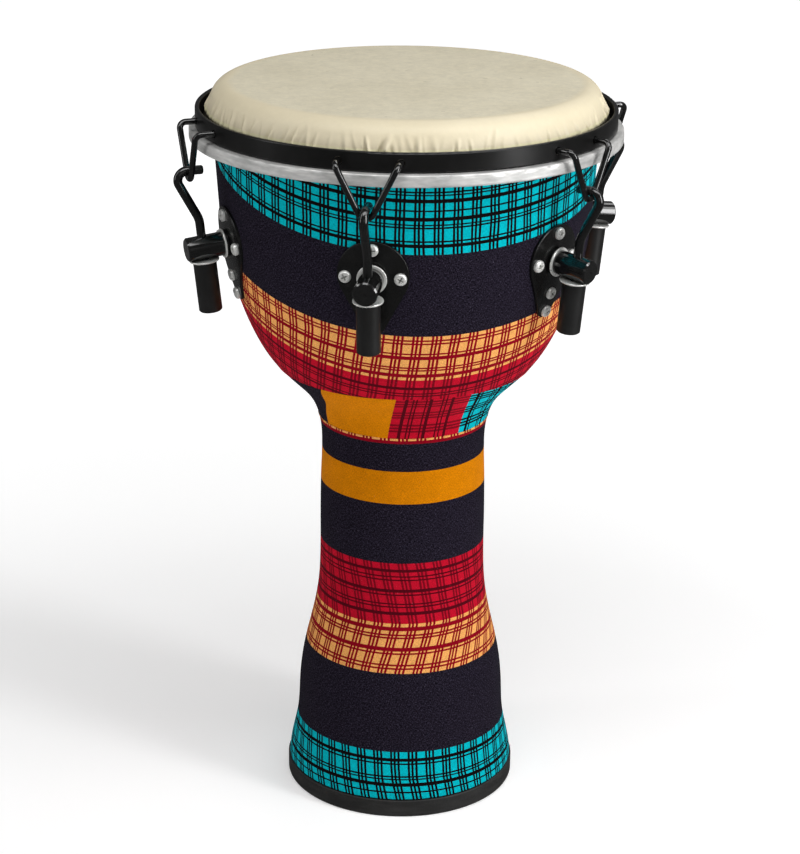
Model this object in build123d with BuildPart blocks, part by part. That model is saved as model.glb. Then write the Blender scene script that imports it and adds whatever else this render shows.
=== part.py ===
"""Mechanically tuned goblet drum (djembe): a ten-inch head on a twenty-inch body.

Millimetres, +Z up. The origin is the centre of the foot ring's underside, on the floor, and
the drum's axis is Z. Lug 1 faces -Y, and lug numbers rise anticlockwise, seen from above.
"""

import os
from math import asin, atan2, cos, degrees, hypot, radians, sin, tan

from build123d import *

os.makedirs("parts", exist_ok=True)

# ------------------------------------------------------------------ driving dimensions

LUGS = 6
LUG_STEP = 360 / LUGS

# The outside of the moulded shell, as (radius, height), from the foot ring up to the rim.
SHELL_OUTLINE = [
    (79.3, 12.6),
    (78.2, 24.0),
    (73.7, 46.0),
    (72.1, 70.0),
    (68.7, 98.0),
    (63.1, 122.0),
    (58.6, 147.0),
    (57.2, 185.0),
    (56.4, 240.0),
    (57.6, 272.0),
    (64.9, 290.0),
    (75.2, 301.5),
    (91.0, 318.0),
    (101.1, 334.0),
    (113.5, 364.0),
    (122.7, 400.0),
    (125.6, 430.0),
    (128.5, 471.0),
    (129.6, 488.0),
]
OUTLINE_ENDS = [(0, 1), (0.06, 1)]  # its directions at the foot and at the rim
SHELL_WALL = 6.0
SHELL_BOTTOM = 3.2
RIM_HEIGHT = 507.15  # top of the bearing edge
RIM_ROUND = 11.7  # radius of the bearing edge's outside
RIM_CENTRE = 118.5  # radius at which the bearing edge is highest
RIM_INNER = 116.9  # radius of the opening

GLUE_GAP = 0.05
CLOTH = 0.6  # thickness of the printed fabric
CLOTH_HEIGHTS = {
    "stem_wrap": (12.9, 275.3),
    "neck_wrap": (275.6, 313.4),
    "bowl_wrap": (313.7, 484.0),
}

RING_RADIUS = 81.2
RING_HEIGHT = 12.6
RING_FLOOR = 3.0
RING_INNER = 70.8
RING_LIP_HEIGHT = 8.0
RING_BOTTOM_ROUND = 1.6
RING_TOP_ROUND = 0.6

# Head and hoops
FILM = 0.3
HEAD_GAP = 0.3  # between the film and the bearing edge
SKIRT_LEAN = 20.0  # of the skirt from vertical, degrees
SKIRT_END = 474.0
CHANNEL_OUTER = 145.25
CHANNEL_INNER = 134.4
CHANNEL_BOTTOM = 470.9
CHANNEL_TOP = 478.9
CHANNEL_WALL = 1.0
CHANNEL_LIP_EDGE = 138.9  # inner radius of the folded top lip
CHANNEL_INNER_TOP = 477.2
CHANNEL_ROUND = 0.7
LOCK_RING = (140.1, 143.9, 472.1, 477.4)  # inner radius, outer radius, bottom, top
LOCK_ROUND = 0.8
HOOP_OUTER = 141.0
HOOP_WALL = 3.0
HOOP_BOTTOM = 479.1
HOOP_TOP = 492.0
HOOP_ROUND = 1.0
EYE_RADIUS = 2.65  # holes in the counterhoop that take the links
EYE_HEIGHT = 485.6
EYE_SIDE = 19.8  # half the distance between a link's two holes
EYE_DRILL = 24.0  # length of the cut that makes a hole

# Lug: distances along the post are from the shell's outside, where the post's axis leaves it.
POST_HEIGHT = 407.6
POST_LEAN = 6.3  # the post points this many degrees below level
POST_RADIUS = 8.0
POST_START = 5.8
POST_END = 30.3
POST_CHAMFER = 0.9
CENTRE_MARK_RADIUS = 0.8  # the lathe's mark in the post's end
CENTRE_MARK_DEPTH = 0.5
SPIGOT_RADIUS = 4.0
SPIGOT_HOLE = 4.15  # through the wall and its backing washer
SPIGOT_CLOSE_HOLE = 4.1  # through the collar and the washer
SPIGOT_INNER_END = -17.5
SHANK_OUT = 18.9  # where the tension hook crosses the post's axis
SHANK_HOLE = 3.3
PLATE_OFFSET = CLOTH + 2 * GLUE_GAP
PLATE_THICK = 2.0
PLATE_ROUND = 0.6
PLATE_TOP_RADIUS = 23.3
PLATE_TIP_RADIUS = 7.6
PLATE_TOP_CENTRE = 1.0  # heights along the plate, from the post's axis
PLATE_TIP_CENTRE = -33.0
COLLAR_RADIUS = 9.0
COLLAR_SPAN = (2.95, 4.5)
WASHER_RADIUS = 9.8
WASHER_SPAN = (4.55, 5.75)
WASHER_ROUND = 0.4

# Plate screws: (distance to the side, height) of each head's centre.
SCREWS = [(-17.4, 407.6), (17.4, 407.6), (0, 426.2), (0, 385.6), (0, 372.8)]
SCREW_RADIUS = 2.0
SCREW_HOLE = 2.15
SCREW_HEAD_RADIUS = 4.1
SCREW_HEAD_HEIGHT = 2.5
SCREW_DOME = 1.7  # radius that rounds the head
SCREW_INNER_END = -11.6
HEAD_SEAT = PLATE_OFFSET + PLATE_THICK + 0.03
RECESS_WIDTH = 0.95
RECESS_LENGTH = 4.4
RECESS_DEPTH = 1.5
FIRST_SCREW_TURN = 25  # of the recess, degrees
SCREW_TURN_STEP = 37

NUT_FLATS = 7.0
NUT_THICK = 3.2
BIG_NUT_FLATS = 13.0
BIG_NUT_THICK = 6.5
BACKING_RADIUS = 11.0
BACKING_THICK = 1.5
INNER_GAP = 0.25  # between a flat nut and the hollow inside of the wall
BACKING_GAP = 0.75  # the same for the wide backing washer

# Tension hook
ROD_RADIUS = 3.0
ROD_BOTTOM = -31.0  # along the shank, from the post's axis
CROOK_HEIGHT = 457.9
CROOK_LEAN = 29.0  # of the rod below the crook, degrees from vertical
CROOK_RADIUS = 6.3
CROOK_CORNER = 163.0  # radius at which the leaning rod meets the crook's height
TIP_RADIUS = 141.8  # how close the tip comes to the drum's axis
BEND_RADIUS = 16.0
HOOK_CHAMFER = 0.6

# Hoop link
LINK_RADIUS = 2.1
LINK_OUT = 151.6  # radius of the legs' upper corners
LINK_APEX_OUT = 150.6
LINK_APEX_BEND = 5.4
LINK_CORNER_BEND = 4.4
LINK_TIP = 135.5  # how far the ends reach in through the hoop
LINK_CHAMFER = 0.5

# Tuning nut and its washer, along the shank from the post's axis, downwards
NUT_WASHER_RADIUS = 9.9
NUT_WASHER_HOLE = 3.4
NUT_WASHER_SPAN = (8.05, 9.25)
BARREL_RADIUS = 7.8
BARREL_SPAN = (9.35, 44.0)
BARREL_BORE = ROD_RADIUS + 0.06
BARREL_BORE_DEPTH = 24.0
BARREL_CHAMFER = 0.8
KEY_FLATS = 8.0
KEY_DEPTH = 6.5

# ------------------------------------------------------------------ the shell's outline


def outline(offset):
    """The outside of the shell as a curve, moved outwards by offset."""
    return Spline(*[(radius + offset, height) for radius, height in SHELL_OUTLINE], tangents=OUTLINE_ENDS)


outline_edge = outline(0)


def wall_at(height):
    """Radius of the shell's outside at a height, and how far it leans out, in radians."""
    low, high = 0.0, 1.0
    while high - low > 1e-7:
        middle = (low + high) / 2
        if (outline_edge @ middle).Y < height:
            low = middle
        else:
            high = middle
    spot, run = outline_edge @ low, outline_edge % low
    return spot.X, atan2(run.X, run.Y)


def wall_plane(side, height):
    """Plane tangent to the shell's outside near lug 1: x to the side, z straight out."""
    radius, lean = wall_at(height)
    around = asin(side / radius)
    out = (sin(around) * cos(lean), -cos(around) * cos(lean), -sin(lean))
    spot = (side, -radius * cos(around), height)
    return Plane(origin=spot, x_dir=(cos(around), sin(around), 0), z_dir=out)


def outline_band(inner, outer, low, high):
    """Section between two copies of the outline moved out by inner and outer, cut level."""
    with BuildSketch(Plane.XZ) as band:
        with BuildLine():
            inside = outline(inner)
            outside = outline(outer)
            Line(inside @ 0, outside @ 0)
            Line(inside @ 1, outside @ 1)
        make_face()
        with Locations((0, (low + high) / 2)):
            Rectangle(2 * CHANNEL_OUTER, high - low, mode=Mode.INTERSECT)
    return band.sketch


def save(shape, name):
    """Label one finished sub-part and write it."""
    shape.label = name
    export_step(shape, f"parts/{name}.step")


def save_six(shape, name):
    """Write one copy of a lug-1 piece for every lug, each as its own node."""
    for number in range(1, LUGS + 1):
        with BuildPart() as copy:
            add(shape, rotation=(0, 0, LUG_STEP * (number - 1)))
        save(copy.part, f"{name}_{number}")


def save_group(shape, name):
    """Write the copies of a lug-1 piece for all lugs as one node of separate solids."""
    with BuildPart() as group:
        for number in range(LUGS):
            add(shape, rotation=(0, 0, LUG_STEP * number))
    save(group.part, name)


# ------------------------------------------------------------------ lug frame

post_radius, post_wall_lean = wall_at(POST_HEIGHT)
post_lean = radians(POST_LEAN)
lug = Plane(
    origin=(0, -post_radius, POST_HEIGHT),
    x_dir=(1, 0, 0),
    z_dir=(0, -cos(post_lean), -sin(post_lean)),
)
shank_foot = lug.from_local_coords(Vector(0, 0, SHANK_OUT))
shank_up = Vector(0, -sin(post_lean), cos(post_lean))


def along_shank(distance):
    """Plane across the shank, at a distance up it from the post's axis."""
    return Plane(origin=shank_foot + shank_up * distance, x_dir=(1, 0, 0), z_dir=shank_up)


# ------------------------------------------------------------------ holes through the wall

with BuildPart() as lug_holes:
    with BuildSketch(lug.offset(SPIGOT_INNER_END)):
        Circle(SPIGOT_HOLE)
    extrude(amount=SHANK_OUT - SPIGOT_INNER_END)
    for side, height in SCREWS:
        with BuildSketch(wall_plane(side, height).offset(SCREW_INNER_END)):
            Circle(SCREW_HOLE)
        extrude(amount=-2 * SCREW_INNER_END)

with BuildPart() as all_holes:
    for number in range(LUGS):
        add(lug_holes.part, rotation=(0, 0, LUG_STEP * number))

# ------------------------------------------------------------------ shell, fabric and foot

foot_radius, foot_height = SHELL_OUTLINE[0]

with BuildPart() as shell:
    with BuildSketch(Plane.XZ):
        with BuildLine():
            outside = outline(0)
            rim_start = (RIM_CENTRE + RIM_ROUND, RIM_HEIGHT - RIM_ROUND)
            Line(outside @ 1, rim_start)
            rim = CenterArc((RIM_CENTRE, RIM_HEIGHT - RIM_ROUND), RIM_ROUND, 0, 90)
            lip_round = RIM_CENTRE - RIM_INNER
            lip = CenterArc((RIM_CENTRE, RIM_HEIGHT - lip_round), lip_round, 90, 90)
            inside = outline(-SHELL_WALL)
            Polyline(lip @ 1, (RIM_INNER, RIM_HEIGHT - RIM_ROUND), inside @ 1)
            Polyline(
                inside @ 0,
                (foot_radius - SHELL_WALL, SHELL_BOTTOM),
                (foot_radius, SHELL_BOTTOM),
                outside @ 0,
            )
        make_face()
    revolve(axis=Axis.Z)
    add(all_holes.part, mode=Mode.SUBTRACT)
save(shell.part, "shell")

for wrap_name, (wrap_low, wrap_high) in CLOTH_HEIGHTS.items():
    wrap_section = outline_band(GLUE_GAP, GLUE_GAP + CLOTH, wrap_low, wrap_high)
    with BuildPart() as wrap:
        revolve(wrap_section.faces(), axis=Axis.Z)
        add(all_holes.part, mode=Mode.SUBTRACT)
    save(wrap.part, wrap_name)

with BuildPart() as foot_ring:
    groove_outer = foot_radius + GLUE_GAP
    groove_inner = foot_radius - SHELL_WALL - GLUE_GAP
    with BuildSketch(Plane.XZ):
        with BuildLine():
            Polyline(
                (RING_INNER, 0),
                (RING_RADIUS, 0),
                (RING_RADIUS, RING_HEIGHT),
                (groove_outer, RING_HEIGHT),
                (groove_outer, RING_FLOOR),
                (groove_inner, RING_FLOOR),
                (groove_inner, RING_LIP_HEIGHT),
                (RING_INNER, RING_LIP_HEIGHT),
                close=True,
            )
        make_face()
    revolve(axis=Axis.Z)
    ring_edges = foot_ring.edges().filter_by(GeomType.CIRCLE).group_by(Axis.Z)
    fillet(ring_edges[0].sort_by(SortBy.RADIUS)[-1], RING_BOTTOM_ROUND)
    ring_edges = foot_ring.edges().filter_by(GeomType.CIRCLE).group_by(Axis.Z)
    fillet(ring_edges[-1].sort_by(SortBy.RADIUS)[-1], RING_TOP_ROUND)
save(foot_ring.part, "foot_ring")

# ------------------------------------------------------------------ head and hoops

skirt_lean = radians(SKIRT_LEAN)


def skirt_bottom(gap):
    """The skirt's lowest point. It leans out from where the shoulder ends, at a gap off the rim."""
    bend = RIM_ROUND + gap
    drop = RIM_HEIGHT - RIM_ROUND + bend * sin(skirt_lean) - SKIRT_END
    return RIM_CENTRE + bend * cos(skirt_lean) + drop * tan(skirt_lean), SKIRT_END


with BuildPart() as drumhead:
    under, over = HEAD_GAP, HEAD_GAP + FILM
    centre = (RIM_CENTRE, RIM_HEIGHT - RIM_ROUND)
    turn = 90 - SKIRT_LEAN
    with BuildSketch(Plane.XZ):
        with BuildLine():
            under_arc = CenterArc(centre, RIM_ROUND + under, SKIRT_LEAN, turn)
            over_arc = CenterArc(centre, RIM_ROUND + over, SKIRT_LEAN, turn)
            Polyline(under_arc @ 1, (0, RIM_HEIGHT + under), (0, RIM_HEIGHT + over), over_arc @ 1)
            Polyline(under_arc @ 0, skirt_bottom(under), skirt_bottom(over), over_arc @ 0)
        make_face()
    revolve(axis=Axis.Z)
save(drumhead.part, "drumhead")

with BuildPart() as flesh_hoop:
    with BuildSketch(Plane.XZ):
        with BuildLine():
            Polyline(
                (CHANNEL_INNER, CHANNEL_BOTTOM),
                (CHANNEL_OUTER, CHANNEL_BOTTOM),
                (CHANNEL_OUTER, CHANNEL_TOP),
                (CHANNEL_LIP_EDGE, CHANNEL_TOP),
                (CHANNEL_LIP_EDGE, CHANNEL_TOP - CHANNEL_WALL),
                (CHANNEL_OUTER - CHANNEL_WALL, CHANNEL_TOP - CHANNEL_WALL),
                (CHANNEL_OUTER - CHANNEL_WALL, CHANNEL_BOTTOM + CHANNEL_WALL),
                (CHANNEL_INNER + CHANNEL_WALL, CHANNEL_BOTTOM + CHANNEL_WALL),
                (CHANNEL_INNER + CHANNEL_WALL, CHANNEL_INNER_TOP),
                (CHANNEL_INNER, CHANNEL_INNER_TOP),
                close=True,
            )
        make_face()
    revolve(axis=Axis.Z)
    rims = flesh_hoop.edges().filter_by(GeomType.CIRCLE).sort_by(SortBy.RADIUS)[-2:]
    fillet(rims, CHANNEL_ROUND)
save(flesh_hoop.part, "flesh_hoop")

with BuildPart() as head_lock_ring:
    lock_inner, lock_outer, lock_bottom, lock_top = LOCK_RING
    with BuildSketch(Plane.XZ):
        with Locations(((lock_inner + lock_outer) / 2, (lock_bottom + lock_top) / 2)):
            RectangleRounded(lock_outer - lock_inner, lock_top - lock_bottom, LOCK_ROUND)
    revolve(axis=Axis.Z)
save(head_lock_ring.part, "head_lock_ring")

with BuildPart() as counterhoop:
    with BuildSketch(Plane.XZ):
        with Locations((HOOP_OUTER - HOOP_WALL / 2, (HOOP_BOTTOM + HOOP_TOP) / 2)):
            RectangleRounded(HOOP_WALL, HOOP_TOP - HOOP_BOTTOM, HOOP_ROUND)
    revolve(axis=Axis.Z)
    with PolarLocations(0, LUGS, start_angle=0):
        with Locations((EYE_SIDE, -HOOP_OUTER, EYE_HEIGHT), (-EYE_SIDE, -HOOP_OUTER, EYE_HEIGHT)):
            Cylinder(EYE_RADIUS, EYE_DRILL, rotation=(90, 0, 0), mode=Mode.SUBTRACT)
save(counterhoop.part, "counterhoop")

with BuildPart() as hoop_link:
    # The legs are tangent to a bend that is concentric with the hook's rod.
    crook_drop = EYE_HEIGHT - CROOK_HEIGHT
    leg_angle = atan2(EYE_SIDE, crook_drop) - asin(LINK_APEX_BEND / hypot(EYE_SIDE, crook_drop))
    apex_height = EYE_HEIGHT - EYE_SIDE / tan(leg_angle)
    with BuildLine() as link_path:
        FilletPolyline(
            (-EYE_SIDE, -LINK_TIP, EYE_HEIGHT),
            (-EYE_SIDE, -LINK_OUT, EYE_HEIGHT),
            (0, -LINK_APEX_OUT, apex_height),
            (EYE_SIDE, -LINK_OUT, EYE_HEIGHT),
            (EYE_SIDE, -LINK_TIP, EYE_HEIGHT),
            radius=[LINK_CORNER_BEND, LINK_APEX_BEND, LINK_CORNER_BEND],
        )
    with BuildSketch(Plane(origin=link_path.line @ 0, z_dir=link_path.line % 0)):
        Circle(LINK_RADIUS)
    sweep()
    chamfer(hoop_link.faces().filter_by(GeomType.PLANE).edges(), LINK_CHAMFER)
save_six(hoop_link.part, "hoop_link")

# ------------------------------------------------------------------ tension hook

with BuildPart() as tension_hook:
    crook_lean = tan(radians(CROOK_LEAN))
    shank_lean = tan(post_lean)
    shank_radius = -shank_foot.Y
    # Height at which the shank's line meets the leaning rod's line.
    bend_height = (
        CROOK_CORNER - crook_lean * CROOK_HEIGHT - shank_radius + shank_lean * shank_foot.Z
    ) / (shank_lean - crook_lean)
    bend_out = shank_radius + shank_lean * (bend_height - shank_foot.Z)
    rod_end = shank_foot + shank_up * ROD_BOTTOM
    with BuildLine() as hook_path:
        FilletPolyline(
            (0, rod_end.Y, rod_end.Z),
            (0, -bend_out, bend_height),
            (0, -CROOK_CORNER, CROOK_HEIGHT),
            (0, -TIP_RADIUS, CROOK_HEIGHT),
            radius=[BEND_RADIUS, CROOK_RADIUS],
        )
    with BuildSketch(Plane(origin=hook_path.line @ 0, z_dir=hook_path.line % 0)):
        Circle(ROD_RADIUS)
    sweep()
    chamfer(tension_hook.faces().filter_by(GeomType.PLANE).edges(), HOOK_CHAMFER)
save_six(tension_hook.part, "tension_hook")

# ------------------------------------------------------------------ lug plate, post and nut

with BuildPart() as plate_prism:
    with BuildSketch(lug.offset(-2 * PLATE_TOP_RADIUS)):
        with BuildLine():
            # Straight sides tangent to the round top and the small round tip.
            spread = PLATE_TOP_CENTRE - PLATE_TIP_CENTRE
            rise = degrees(asin((PLATE_TOP_RADIUS - PLATE_TIP_RADIUS) / spread))
            top_arc = CenterArc((0, PLATE_TOP_CENTRE), PLATE_TOP_RADIUS, -rise, 180 + 2 * rise)
            tip_arc = CenterArc((0, PLATE_TIP_CENTRE), PLATE_TIP_RADIUS, 180 + rise, 180 - 2 * rise)
            Line(top_arc @ 1, tip_arc @ 0)
            Line(tip_arc @ 1, top_arc @ 0)
        make_face()
    extrude(amount=4 * PLATE_TOP_RADIUS)

plate_section = outline_band(
    PLATE_OFFSET,
    PLATE_OFFSET + PLATE_THICK,
    POST_HEIGHT - 2 * PLATE_TOP_RADIUS,
    POST_HEIGHT + 2 * PLATE_TOP_RADIUS,
)
with BuildPart() as lug_plate:
    revolve(plate_section.faces(), axis=Axis.Z)
    add(plate_prism.part, mode=Mode.INTERSECT)
    add(lug_holes.part, mode=Mode.SUBTRACT)
    front_face = min(lug_plate.faces().sort_by(SortBy.AREA)[-2:], key=lambda face: face.center().Y)
    fillet(front_face.outer_wire().edges(), PLATE_ROUND)
save_six(lug_plate.part, "lug_plate")

with BuildPart() as post_collar:
    with BuildSketch(lug.offset(COLLAR_SPAN[0])):
        Circle(COLLAR_RADIUS)
        Circle(SPIGOT_CLOSE_HOLE, mode=Mode.SUBTRACT)
    extrude(amount=COLLAR_SPAN[1] - COLLAR_SPAN[0])
save_group(post_collar.part, "post_collars")

with BuildPart() as post_washer:
    with BuildSketch(lug.offset(WASHER_SPAN[0])):
        Circle(WASHER_RADIUS)
        Circle(SPIGOT_CLOSE_HOLE, mode=Mode.SUBTRACT)
    extrude(amount=WASHER_SPAN[1] - WASHER_SPAN[0])
    fillet(post_washer.edges().filter_by(GeomType.CIRCLE).sort_by(SortBy.RADIUS)[-2:], WASHER_ROUND)
save_group(post_washer.part, "post_washers")

with BuildPart() as lug_post:
    with BuildSketch(lug.offset(POST_START)):
        Circle(POST_RADIUS)
    extrude(amount=POST_END - POST_START)
    chamfer(lug_post.faces().sort_by(Axis.Y)[0].edges(), POST_CHAMFER)
    with BuildSketch(lug.offset(SPIGOT_INNER_END)):
        Circle(SPIGOT_RADIUS)
    extrude(amount=POST_START - SPIGOT_INNER_END)
    with BuildSketch(lug.offset(POST_END)):
        Circle(CENTRE_MARK_RADIUS)
    extrude(amount=-CENTRE_MARK_DEPTH, mode=Mode.SUBTRACT)
    with BuildSketch(along_shank(-2 * POST_RADIUS)):
        Circle(SHANK_HOLE)
    extrude(amount=4 * POST_RADIUS, mode=Mode.SUBTRACT)
save_six(lug_post.part, "lug_post")

with BuildPart() as nut_washer:
    with BuildSketch(along_shank(-NUT_WASHER_SPAN[1])):
        Circle(NUT_WASHER_RADIUS)
        Circle(NUT_WASHER_HOLE, mode=Mode.SUBTRACT)
    extrude(amount=NUT_WASHER_SPAN[1] - NUT_WASHER_SPAN[0])
    fillet(nut_washer.edges().filter_by(GeomType.CIRCLE).sort_by(SortBy.RADIUS)[-2:], WASHER_ROUND)
save_six(nut_washer.part, "nut_washer")

with BuildPart() as tuning_nut:
    with BuildSketch(along_shank(-BARREL_SPAN[1])):
        Circle(BARREL_RADIUS)
    extrude(amount=BARREL_SPAN[1] - BARREL_SPAN[0])
    chamfer(tuning_nut.faces().filter_by(GeomType.PLANE).edges(), BARREL_CHAMFER)
    with BuildSketch(along_shank(-BARREL_SPAN[0])):
        Circle(BARREL_BORE)
    extrude(amount=-BARREL_BORE_DEPTH, mode=Mode.SUBTRACT)
    with BuildSketch(along_shank(-BARREL_SPAN[1])):
        RegularPolygon(KEY_FLATS / 2, 6, major_radius=False)
    extrude(amount=KEY_DEPTH, mode=Mode.SUBTRACT)
save_six(tuning_nut.part, "tuning_nut")

# ------------------------------------------------------------------ fasteners

with BuildPart() as screw:
    with BuildSketch(Plane.XY.offset(SCREW_INNER_END)):
        Circle(SCREW_RADIUS)
    extrude(amount=HEAD_SEAT - SCREW_INNER_END)
    with BuildSketch(Plane.XY.offset(HEAD_SEAT)):
        Circle(SCREW_HEAD_RADIUS)
    extrude(amount=SCREW_HEAD_HEIGHT)
    fillet(screw.faces().sort_by(Axis.Z)[-1].edges(), SCREW_DOME)
    with BuildSketch(Plane.XY.offset(HEAD_SEAT + SCREW_HEAD_HEIGHT)):
        Rectangle(RECESS_LENGTH, RECESS_WIDTH)
        Rectangle(RECESS_WIDTH, RECESS_LENGTH)
    extrude(amount=-RECESS_DEPTH, mode=Mode.SUBTRACT)

with BuildPart() as lug_screws:
    for index, (side, height) in enumerate(SCREWS):
        screw_turn = FIRST_SCREW_TURN + SCREW_TURN_STEP * index
        with Locations(wall_plane(side, height).location * Location((0, 0, 0), (0, 0, screw_turn))):
            add(screw.part)
save_group(lug_screws.part, "plate_screws")

with BuildPart() as lug_screw_nuts:
    for side, height in SCREWS:
        inside_face = -SHELL_WALL * cos(wall_at(height)[1]) - INNER_GAP
        with BuildSketch(wall_plane(side, height).offset(inside_face)):
            RegularPolygon(NUT_FLATS / 2, 6, major_radius=False)
            Circle(SCREW_RADIUS + GLUE_GAP, mode=Mode.SUBTRACT)
        extrude(amount=-NUT_THICK)
save_group(lug_screw_nuts.part, "screw_nuts")

post_inside = -SHELL_WALL * cos(post_wall_lean) - BACKING_GAP

with BuildPart() as post_backing_washer:
    with BuildSketch(lug.offset(post_inside - BACKING_THICK)):
        Circle(BACKING_RADIUS)
        Circle(SPIGOT_HOLE, mode=Mode.SUBTRACT)
    extrude(amount=BACKING_THICK)
save_group(post_backing_washer.part, "post_backing_washers")

with BuildPart() as post_nut:
    with BuildSketch(lug.offset(post_inside - BACKING_THICK - GLUE_GAP)):
        RegularPolygon(BIG_NUT_FLATS / 2, 6, major_radius=False)
        Circle(SPIGOT_RADIUS + GLUE_GAP, mode=Mode.SUBTRACT)
    extrude(amount=-BIG_NUT_THICK)
save_group(post_nut.part, "post_nuts")
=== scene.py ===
import math
import random

import bmesh
import bpy
import numpy as np
from mathutils import Matrix, Vector


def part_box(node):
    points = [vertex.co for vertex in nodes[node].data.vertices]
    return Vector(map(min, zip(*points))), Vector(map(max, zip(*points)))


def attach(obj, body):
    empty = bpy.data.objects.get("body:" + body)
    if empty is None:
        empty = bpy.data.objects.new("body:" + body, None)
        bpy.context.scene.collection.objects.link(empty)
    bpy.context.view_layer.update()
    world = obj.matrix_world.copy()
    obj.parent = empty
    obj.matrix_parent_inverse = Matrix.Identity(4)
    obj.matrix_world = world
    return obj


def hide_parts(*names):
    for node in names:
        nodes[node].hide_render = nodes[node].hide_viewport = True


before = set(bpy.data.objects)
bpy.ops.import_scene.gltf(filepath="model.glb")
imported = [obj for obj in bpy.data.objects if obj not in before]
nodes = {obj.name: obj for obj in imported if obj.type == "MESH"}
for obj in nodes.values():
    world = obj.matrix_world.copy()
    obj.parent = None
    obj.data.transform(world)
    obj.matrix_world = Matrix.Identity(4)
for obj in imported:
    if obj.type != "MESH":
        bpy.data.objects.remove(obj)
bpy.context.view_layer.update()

MM = 0.001
CAMERA_AROUND = math.radians(9.3)  # the camera stands this far round from lug 1, towards +X
SEAM = CAMERA_AROUND + math.pi  # the ends of the cloths and of the channel meet at the back
WHITE = (1, 1, 1)


# ------------------------------------------------------------------ material nodes

class Shade:
    """A Principled material, and short names for the nodes that its patterns need."""

    def __init__(self, name):
        self.material = bpy.data.materials.new(name)
        self.material.use_nodes = True
        self.tree = self.material.node_tree
        self.surface = self.tree.nodes["Principled BSDF"]

    def node(self, kind, **settings):
        made = self.tree.nodes.new(kind)
        for key, value in settings.items():
            setattr(made, key, value)
        return made

    def join(self, value, socket):
        """Links an output to the socket, or sets a constant on the socket itself."""
        if isinstance(value, bpy.types.NodeSocket):
            self.tree.links.new(value, socket)
        elif isinstance(value, tuple) and socket.type == "RGBA":
            socket.default_value = (*value, 1)
        else:
            socket.default_value = value

    def set(self, name, value):
        self.join(value, self.surface.inputs[name])

    def math(self, operation, *values):
        made = self.node("ShaderNodeMath", operation=operation)
        for value, socket in zip(values, made.inputs):
            self.join(value, socket)
        return made.outputs[0]

    def mix(self, factor, first, second, blend="MIX"):
        made = self.node("ShaderNodeMix", data_type="RGBA", blend_type=blend)
        self.join(factor, made.inputs["Factor"])
        self.join(first, made.inputs[6])  # the two colour sockets
        self.join(second, made.inputs[7])
        return made.outputs[2]

    def toned(self, colour, tone):
        """The colour, multiplied by a grey tone."""
        return self.mix(1.0, colour, self.vector(tone, tone, tone), "MULTIPLY")

    def span(self, value, low, high, to_low=0.0, to_high=1.0):
        """Stretches low..high to to_low..to_high, and stops there."""
        made = self.node("ShaderNodeMapRange")
        for each, socket in zip((value, low, high, to_low, to_high), made.inputs):
            self.join(each, socket)
        return made.outputs[0]

    def spread(self, noise, to_low=0.0, to_high=1.0):
        """Stretches the range in which most of a noise lies."""
        return self.span(noise, 0.3, 0.7, to_low, to_high)

    def centred(self, noise, reach):
        """A noise from 0 to 1, made as wide as reach and evenly about zero."""
        return self.math("MULTIPLY_ADD", noise, reach, -reach / 2)

    def place(self):
        return self.node("ShaderNodeTexCoord").outputs["Object"]

    def flat(self):
        """The piece's own UV map, in millimetres."""
        return self.node("ShaderNodeUVMap", uv_map="cloth").outputs[0]

    def parts(self, vector):
        made = self.node("ShaderNodeSeparateXYZ")
        self.join(vector, made.inputs[0])
        return made.outputs

    def from_axis(self, place):
        """Distance from the drum's axis."""
        x, y, _ = self.parts(place)
        squares = self.math("ADD", self.math("MULTIPLY", x, x), self.math("MULTIPLY", y, y))
        return self.math("SQRT", squares)

    def vector(self, x, y, z):
        made = self.node("ShaderNodeCombineXYZ")
        for each, socket in zip((x, y, z), made.inputs):
            self.join(each, socket)
        return made.outputs[0]

    def scaled(self, vector, x, y, z):
        made = self.node("ShaderNodeVectorMath", operation="MULTIPLY")
        self.join(vector, made.inputs[0])
        self.join((x, y, z), made.inputs[1])
        return made.outputs[0]

    def noise(self, vector, scale, detail=2.0, rough=0.5):
        made = self.node("ShaderNodeTexNoise")
        self.join(vector, made.inputs["Vector"])
        self.join(scale, made.inputs["Scale"])
        self.join(detail, made.inputs["Detail"])
        self.join(rough, made.inputs["Roughness"])
        return made.outputs["Fac"]

    def steps(self, factor, levels):
        """A stepped ramp: levels is a list of (start, grey), in rising order."""
        made = self.node("ShaderNodeValToRGB")
        ramp = made.color_ramp
        ramp.interpolation = "CONSTANT"
        for index, (start, level) in enumerate(levels):
            element = ramp.elements[index] if index < 2 else ramp.elements.new(start)
            element.position = start
            element.color = (level, level, level, 1)
        self.join(factor, made.inputs["Fac"])
        return made.outputs["Color"]

    def bump(self, height, distance, under=None):
        """Relief of a depth in metres, on top of another bump where one is given."""
        made = self.node("ShaderNodeBump")
        self.join(height, made.inputs["Height"])
        self.join(distance, made.inputs["Distance"])
        self.join(1.0, made.inputs["Strength"])
        if under is not None:
            self.join(under, made.inputs["Normal"])
        return made.outputs["Normal"]


# ------------------------------------------------------------------ camera, light and floor

BODY_AIM = (0, 0, 0.30)
BOWL_AIM = (0, 0, 0.42)
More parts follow.
